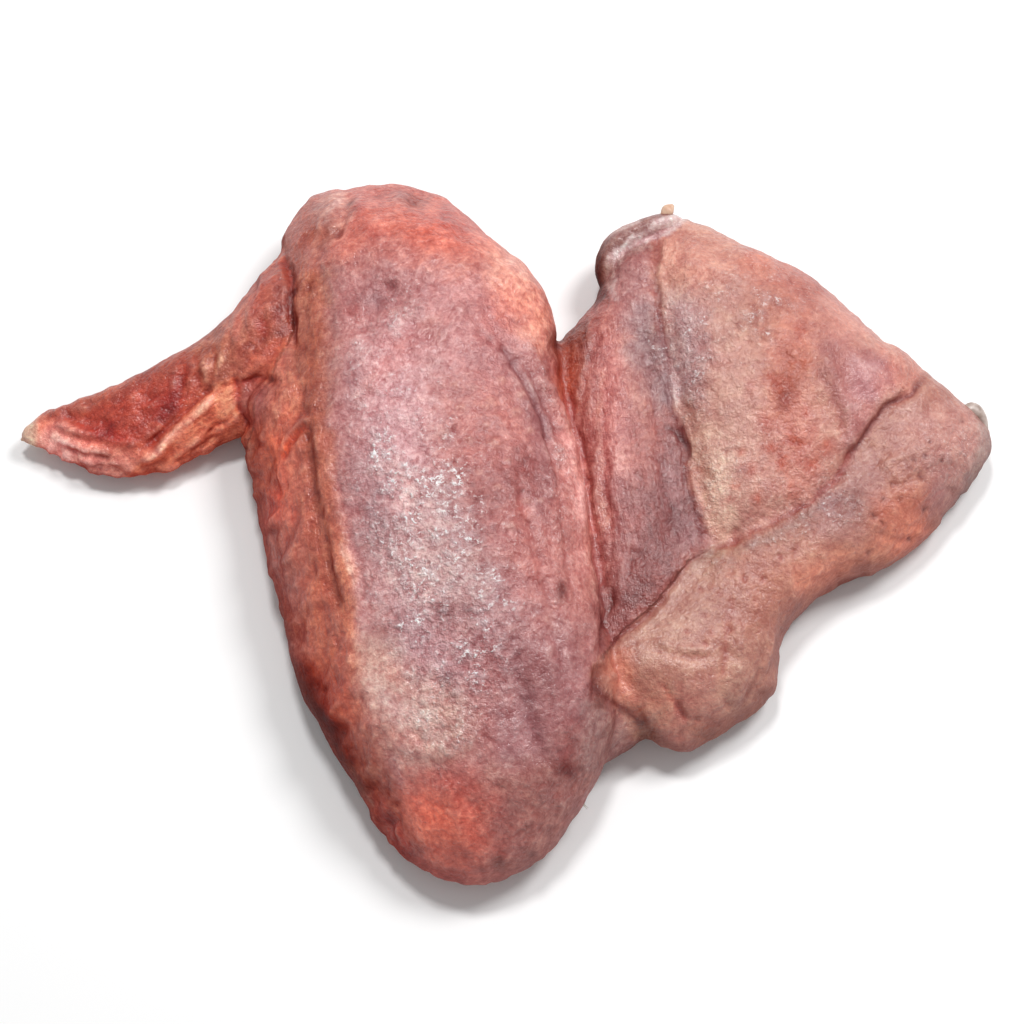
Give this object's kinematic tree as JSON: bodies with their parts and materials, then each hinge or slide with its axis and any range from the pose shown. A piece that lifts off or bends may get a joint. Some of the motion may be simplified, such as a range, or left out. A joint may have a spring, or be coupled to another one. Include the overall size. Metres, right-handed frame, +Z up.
{
  "type": "raw turkey wing",
  "caption": "Whole raw poultry wing lying folded with its skin up: pillow-shaped forearm, pointed wing tip, thin web, and the upper arm under a loose flap of skin.",
  "frame": {"origin": "on the surface that the wing lies on, under the middle of its bounding box", "axes": "+Z up out of the skin side, +X from the wing tip towards the loose shoulder skin, +Y from the elbow towards the wrist"},
  "size_m": [0.2484, 0.1832, 0.0435],
  "materials": {
    "raw_skin": "moist, mottled pink poultry skin with a soft wet gloss"
  },
  "bodies": {
    "root": {"turkey_wing": "raw_skin"}
  },
  "joints": []
}
